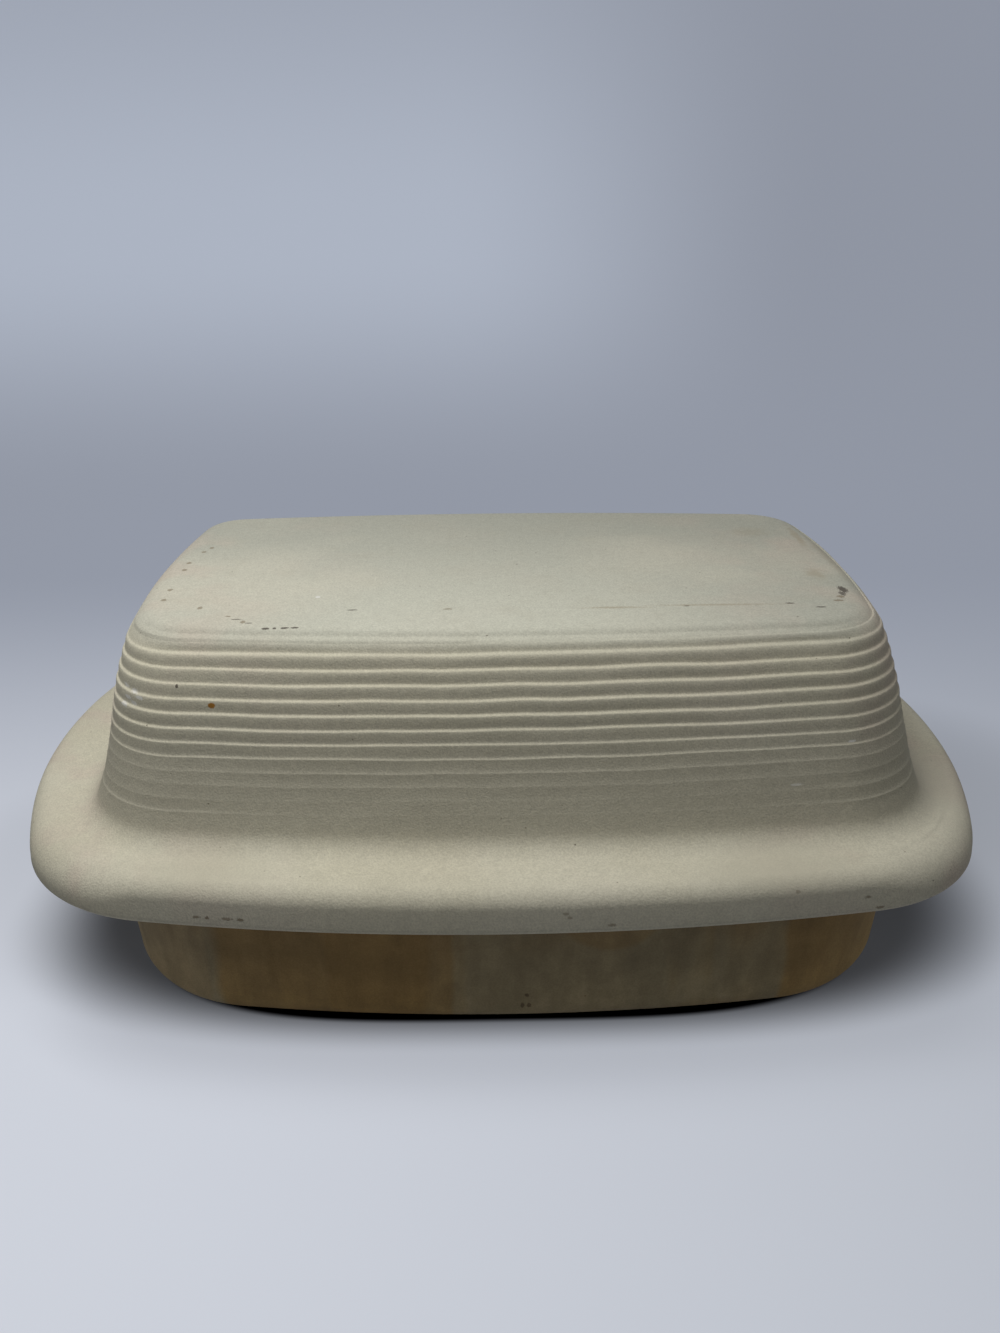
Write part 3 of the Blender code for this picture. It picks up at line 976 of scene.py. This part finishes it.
@dataclass(frozen=True)
class Studio:
    """Pale sweep, soft overhead light and the camera at the photograph's angle."""

    place: Triple = (-0.00472, -0.44874, 0.28568)
    pitch: float = 22.15
    yaw: float = 0.74
    roll: float = -0.4
    focal: float = 1.161
    sensor: float = 36.0
    side_reach: float = 2.5
    front_edge: float = -2.0
    bend_start: float = 0.45
    bend_radius: float = 0.25
    back_height: float = 2.2
    floor_colour: Colour = (0.735, 0.77, 0.855)
    # painted shade: the floor darkens towards the right and the sweep as it rises into the backdrop; painted
    # light lightens the backdrop's upper left
    far_floor_painted_shade: Colour = (0.545, 0.58, 0.65)
    back_painted_shade: Colour = (0.41, 0.446, 0.535)
    high_painted_light: Colour = (0.6, 0.66, 0.785)
    dim_colour: Colour = (0.33, 0.335, 0.345)
    dim_light: Colour = (0.075, 0.075, 0.0735)
    back_seen: Colour = (0.33, 0.37, 0.43)
    floor_sides: Pair = (-0.2, 0.45)
    back_rise: Pair = (-0.045, 0.165)
    high_rise: Pair = (0.03, 0.24)
    high_sides: Pair = (-0.05, 0.32)
    high_fall: Pair = (0.27, 0.5)
    # the floor is seen mostly through its glow, which stands in for the light on it; a faint glow to bounced
    # rays lights the dish from below
    seen_share: float = 0.3
    glow: float = 0.625
    low_glow: float = 0.06
    # painted shadows on the floor: a black contact shadow round the dish's foot, the flange's shadow round
    # the roaster, and two soft side shadows
    painted_dish_shadow: Pair = (0.144, 0.0943)
    dish_shift: Pair = (0.0027, -0.0016)
    dish_power: float = 3.5
    dish_fade: Pair = (1.0, 1.12)
    painted_flange_shadow: Pair = (0.196, 0.106)
    flange_shift: Pair = (0.006, 0.003)
    flange_power: float = 3.0
    flange_fade: Pair = (0.62, 1.4)
    painted_flange_shadow_depth: float = 0.07
    side_fade: Pair = (0.1, 2.2)

    PAINTED_SIDE_SHADOWS = (((0.1, 0.1), (0.19, 0.07), 0.7), ((0.06, 0.07), (-0.195, 0.01), 0.85))
    LAMPS = (
        Lamp("overhead", (-0.16, -0.13, 0.71), (-0.25, -0.25, 0.1), (0.4, 0.3), 3.45, (1.0, 0.995, 0.97)),
        Lamp("side fill", (0.9, 0.0, 0.5), (0.0, 0.0, 0.1), (0.8, 0.5), 0.58, (1.0, 1.0, 0.98)),
    )

    def camera(self) -> None:
        """Set up the camera."""
        data = bpy.data.cameras.new("camera")
        data.sensor_fit = "HORIZONTAL"
        data.sensor_width = self.sensor
        data.lens = self.sensor * self.focal
        camera = shown("camera", data)
        turns = ((-self.yaw, "Z"), (90 - self.pitch, "X"), (self.roll, "Z"))
        yaw, pitch, roll = (Matrix.Rotation(radians(turn), 4, axis) for turn, axis in turns)
        camera.matrix_world = Matrix.Translation(self.place) @ yaw @ pitch @ roll
        bpy.context.scene.camera = camera

    def sweep(self) -> None:
        """Lay the floor, which curves up into the backdrop behind the roaster."""
        mesh = bmesh.new()
        edge = mesh.edges.new([mesh.verts.new((x, self.front_edge, 0.0))
                               for x in (-self.side_reach, self.side_reach)])
        profile = [(self.bend_start + self.bend_radius * sin(radians(turn)),
                    self.bend_radius - self.bend_radius * cos(radians(turn))) for turn in range(0, 91, 10)]
        profile.append((self.bend_start + self.bend_radius, self.back_height))
        for y, z in profile:
            made = bmesh.ops.extrude_edge_only(mesh, edges=[edge])["geom"]
            corners = [thing for thing in made if isinstance(thing, bmesh.types.BMVert)]
            edge = mesh.edges.get(corners)
            for corner in corners:
                corner.co.y, corner.co.z = y, z
        bmesh.ops.recalc_face_normals(mesh, faces=mesh.faces)
        data = bpy.data.meshes.new("sweep")
        mesh.to_mesh(data)
        mesh.free()
        data.shade_smooth()
        data.materials.append(self.paper())
        floor = shown("sweep", data)

    def paper(self) -> bpy.types.Material:
        """Return the sweep's finish: pale to the eye with painted light, painted shade and painted shadows,
        darker to bounced light.
        """
        look = Shader("pale_sweep", 0.9, 0.0)
        place = look.split()
        # painted shade and painted light across the sweep: darker to the right and up the backdrop, lighter
        # high on the left
        rise = look.value("MULTIPLY_ADD", place["Y"], 0.35, place["Z"])
        side = look.ramp(place["X"], *self.floor_sides)
        floor = look.mixed(side, self.floor_colour, self.far_floor_painted_shade)
        colour = look.mixed(look.ramp(rise, *self.back_rise), floor, self.back_painted_shade)
        high = look.times(look.ramp(place["Z"], *self.high_rise),
                            look.ramp(place["X"], *self.high_sides, (1.0, 0.0)))
        high = look.times(high, look.ramp(place["Z"], *self.high_fall, (1.0, 0.5)))
        colour = look.mixed(high, colour, self.high_painted_light)
        eye = seen(look.material.node_tree)
        # painted shadows: the floor's seen colour and glow are darkened round the dish's foot, under the
        # flange and to both sides
        clear_of_painted_contact_shadow = look.ramp(look.away(self.painted_dish_shadow, self.dish_shift, self.dish_power), *self.dish_fade)
        lit = look.mixed(look.times(clear_of_painted_contact_shadow, self.seen_share), (0.0, 0.0, 0.0), colour)
        look.links.new(look.mixed(eye, self.dim_colour, lit), look.surface.inputs["Base Color"])
        look.links.new(colour, look.surface.inputs["Emission Color"])
        clear_of_painted_shadows = look.ramp(look.away(self.painted_flange_shadow, self.flange_shift, self.flange_power),
                                 *self.flange_fade, (self.painted_flange_shadow_depth, 1.0))
        for reach, middle, dim in self.PAINTED_SIDE_SHADOWS:
            soft = look.ramp(look.away(reach, middle, 2.0), *self.side_fade, (dim, 1.0))
            clear_of_painted_shadows = look.times(clear_of_painted_shadows, soft)
        glow = look.value("MAXIMUM", look.times(eye, self.glow), self.low_glow)
        strength = look.times(look.times(glow, clear_of_painted_shadows), clear_of_painted_contact_shadow)
        look.links.new(strength, look.surface.inputs["Emission Strength"])
        return look.material

    def surround(self) -> None:
        """Set up the world: a dim even light that looks as pale as the sweep where the eye meets it."""
        world = bpy.data.worlds.new("surround")
        world.use_nodes = True
        nodes, links = world.node_tree.nodes, world.node_tree.links
        colour = nodes.new("ShaderNodeMix")
        colour.data_type = "RGBA"
        colour.inputs[6].default_value = (*self.dim_light, 1.0)
        colour.inputs[7].default_value = (*self.back_seen, 1.0)
        links.new(seen(world.node_tree), colour.inputs["Factor"])
        links.new(colour.outputs[2], nodes["Background"].inputs["Color"])
        bpy.context.scene.world = world

    def build(self) -> None:
        """Set up floor, light, camera and plain colours."""
        self.sweep()
        for lamp in self.LAMPS:
            lamp.hang()
        self.surround()
        self.camera()
        bpy.context.scene.view_settings.view_transform = "Standard"


def main() -> None:
    """Build and dress the dish and its cover, and set up the studio."""
    logging.basicConfig(level=logging.INFO, format="%(message)s")
    for maker in (BaseDish(), DeepCover()):
        piece = maker.build()
        maker.dress(piece)
        LOG.info("%s is dressed", piece.name)
    Studio().build()


if __name__ == "__main__":
    main()
